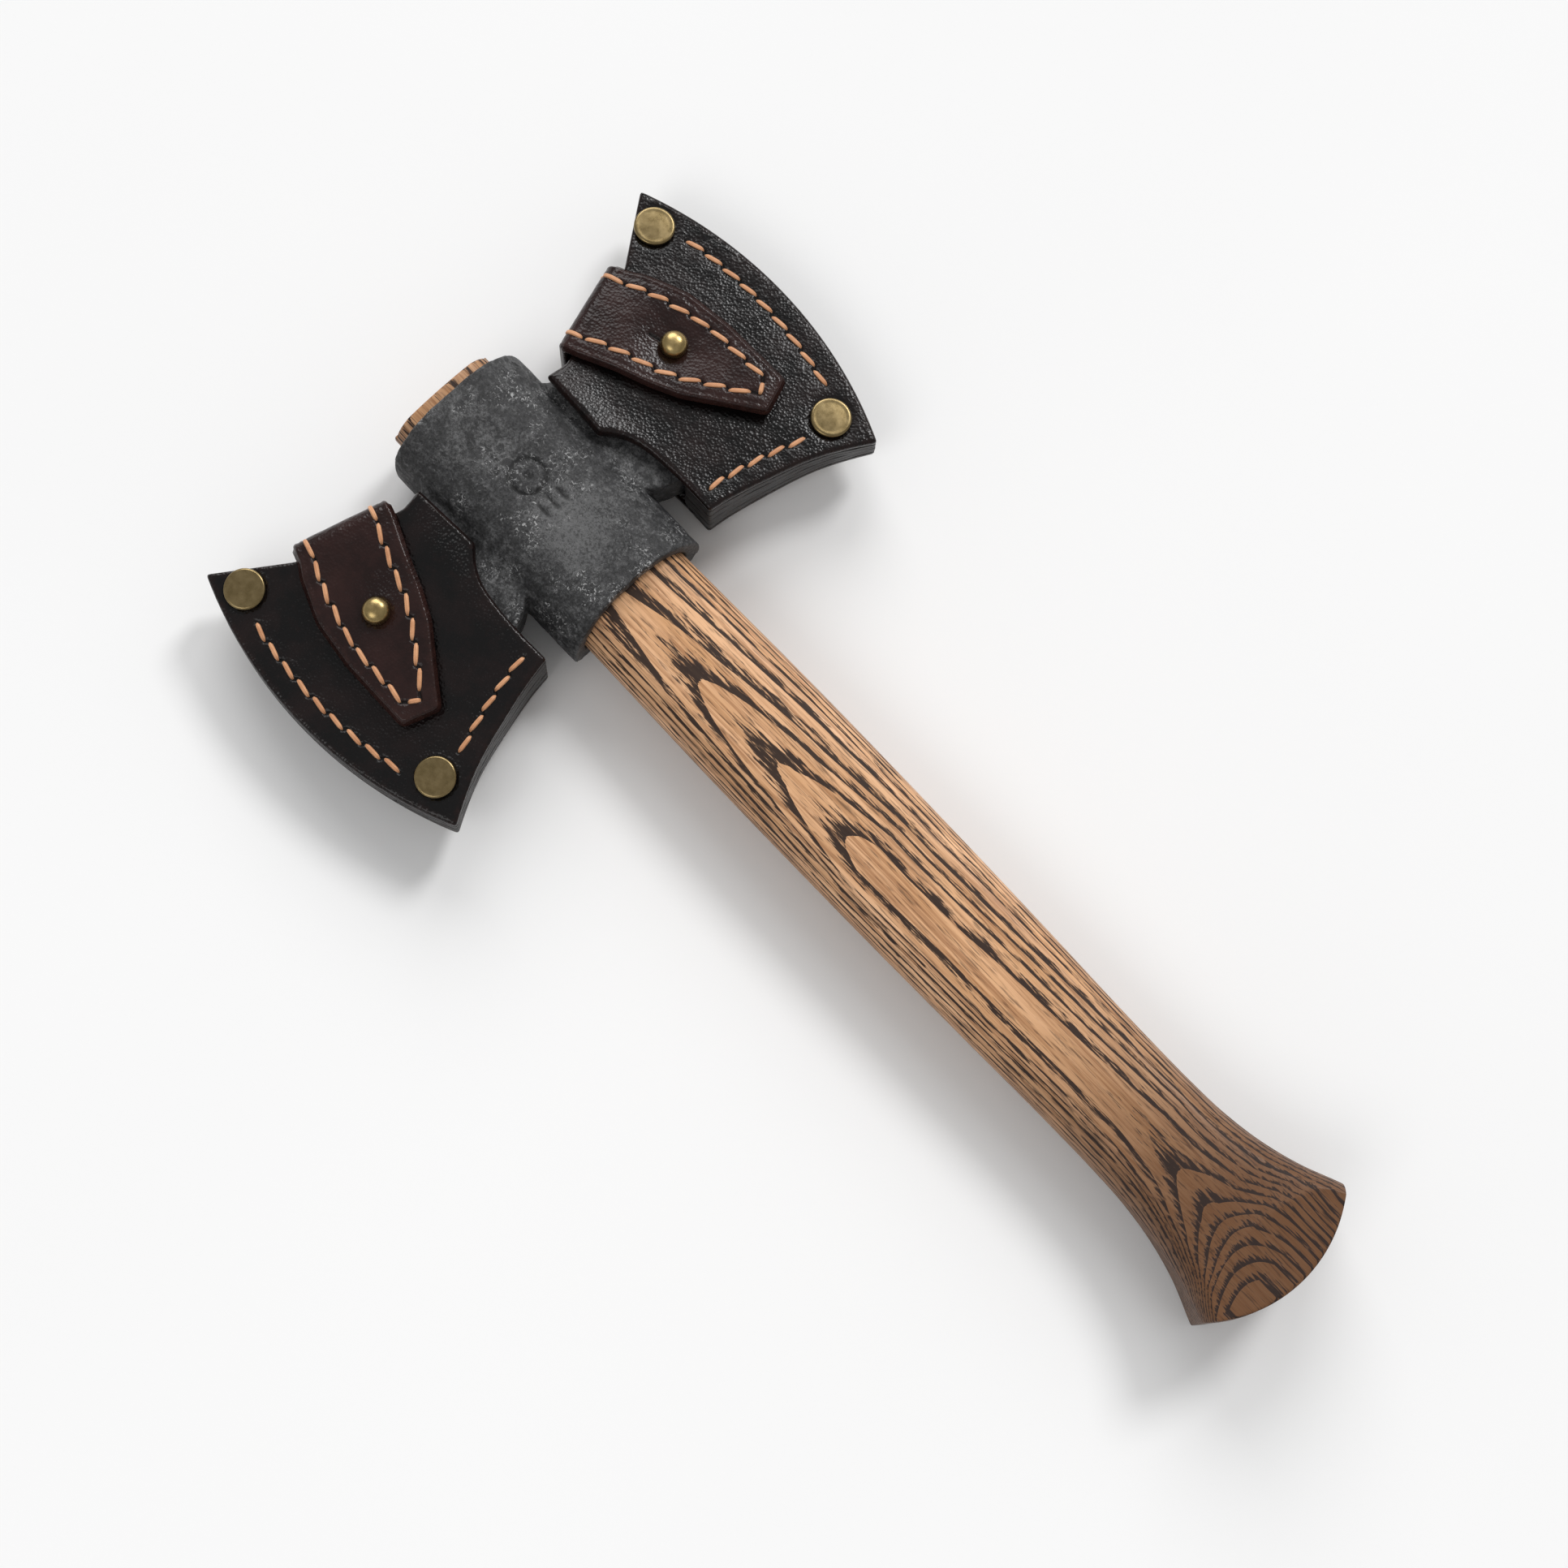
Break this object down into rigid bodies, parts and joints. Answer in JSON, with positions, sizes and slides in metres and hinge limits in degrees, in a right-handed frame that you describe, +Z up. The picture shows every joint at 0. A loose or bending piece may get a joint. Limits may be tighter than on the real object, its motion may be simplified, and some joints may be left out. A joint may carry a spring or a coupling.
{
  "type": "double-bit axe with leather edge covers",
  "caption": "Small double-bit axe with a forged head, a flared ash handle and a stitched leather cover buttoned on each bit.",
  "frame": {"origin": "middle of the eye, on the face of the eye that the axe rests on when it lies flat", "axes": "+X along the handle towards its knob, +Y out through the right-hand bit, +Z up from the rest face"},
  "size_m": [0.3517, 0.1866, 0.0339],
  "materials": {
    "forged_steel": "dark forge scale",
    "ash": "oiled",
    "wedge_wood": "oiled end grain",
    "wedge_steel": "plain",
    "cover_leather": "waxed, semi-gloss",
    "strap_leather": "waxed, semi-gloss",
    "welt_leather": "burnished edge",
    "thread": "waxed thread",
    "antique_brass": "antique",
    "polished_brass": "polished"
  },
  "bodies": {
    "axe": {"head": "forged_steel", "handle": "ash", "wooden_wedge": "wedge_wood", "steel_wedge": "wedge_steel"},
    "right_cover": {"right_front_panel": "cover_leather", "right_back_panel": "cover_leather", "right_edge_welt_front": "welt_leather", "right_edge_welt_back": "welt_leather", "right_rivet_caps": "antique_brass", "right_rivet_posts": "antique_brass", "right_rivet_back_caps": "antique_brass", "right_stud": "polished_brass", "right_stud_screw": "polished_brass", "right_edge_stitches": "thread", "right_heel_stitches": "thread", "right_strap_base": "strap_leather", "right_strap_base_stitches": "thread", "right_strap_fold": "strap_leather", "right_heel_welt_1": "welt_leather", "right_heel_welt_2": "welt_leather", "right_heel_welt_3": "welt_leather", "right_heel_welt_4": "welt_leather"},
    "right_strap": {"right_strap_flap": "strap_leather", "right_strap_stitches": "thread"},
    "left_cover": {"left_front_panel": "cover_leather", "left_back_panel": "cover_leather", "left_edge_welt_front": "welt_leather", "left_edge_welt_back": "welt_leather", "left_rivet_caps": "antique_brass", "left_rivet_posts": "antique_brass", "left_rivet_back_caps": "antique_brass", "left_stud": "polished_brass", "left_stud_screw": "polished_brass", "left_edge_stitches": "thread", "left_heel_stitches": "thread", "left_strap_base": "strap_leather", "left_strap_base_stitches": "thread", "left_strap_fold": "strap_leather", "left_heel_welt_1": "welt_leather", "left_heel_welt_2": "welt_leather", "left_heel_welt_3": "welt_leather", "left_heel_welt_4": "welt_leather"},
    "left_strap": {"left_strap_flap": "strap_leather", "left_strap_stitches": "thread"}
  },
  "joints": [
    {"name": "right_cover_slide", "type": "slide", "parent": "axe", "child": "right_cover", "axis": [0.7431, 0.6691, 0], "range_m": [0, 0.12]},
    {"name": "right_strap_hinge", "type": "hinge", "parent": "right_cover", "child": "right_strap", "pos_m": [-0.02931, 0.04748, 0.02502], "axis": [0.3014, -0.9478, 0.1043], "range_deg": [0, 150], "deforming": ["right_strap_fold"]},
    {"name": "left_cover_slide", "type": "slide", "parent": "axe", "child": "left_cover", "axis": [0.7431, -0.6691, 0], "range_m": [0, 0.12]},
    {"name": "left_strap_hinge", "type": "hinge", "parent": "left_cover", "child": "left_strap", "pos_m": [-0.02931, -0.04748, 0.02502], "axis": [-0.3014, -0.9478, -0.1043], "range_deg": [0, 150], "deforming": ["left_strap_fold"]}
  ]
}
